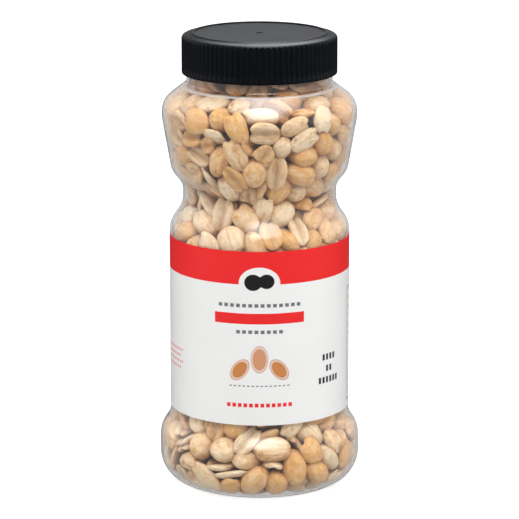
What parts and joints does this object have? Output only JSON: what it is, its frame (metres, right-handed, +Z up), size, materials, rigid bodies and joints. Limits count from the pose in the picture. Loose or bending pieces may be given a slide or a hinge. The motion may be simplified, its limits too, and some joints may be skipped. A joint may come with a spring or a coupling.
{
  "type": "jar of roasted peanuts",
  "caption": "Clear waisted plastic jar with a ribbed black screw cap and a plain wrap label, filled to the neck with dry roasted peanuts.",
  "frame": {"origin": "on the jar's axis, in the plane it stands on", "axes": "+Z up along the jar's axis, the label's front towards -Y"},
  "size_m": [0.0858, 0.0858, 0.1956],
  "materials": {
    "jar": "clear blown plastic, glossy",
    "cap": "moulded satin black",
    "label": "printed film, satin",
    "peanuts": "dry roasted nuts"
  },
  "bodies": {
    "root": {"jar": "jar", "neck": "jar", "cap": "cap", "label": "label", "peanuts": "peanuts"}
  },
  "joints": []
}
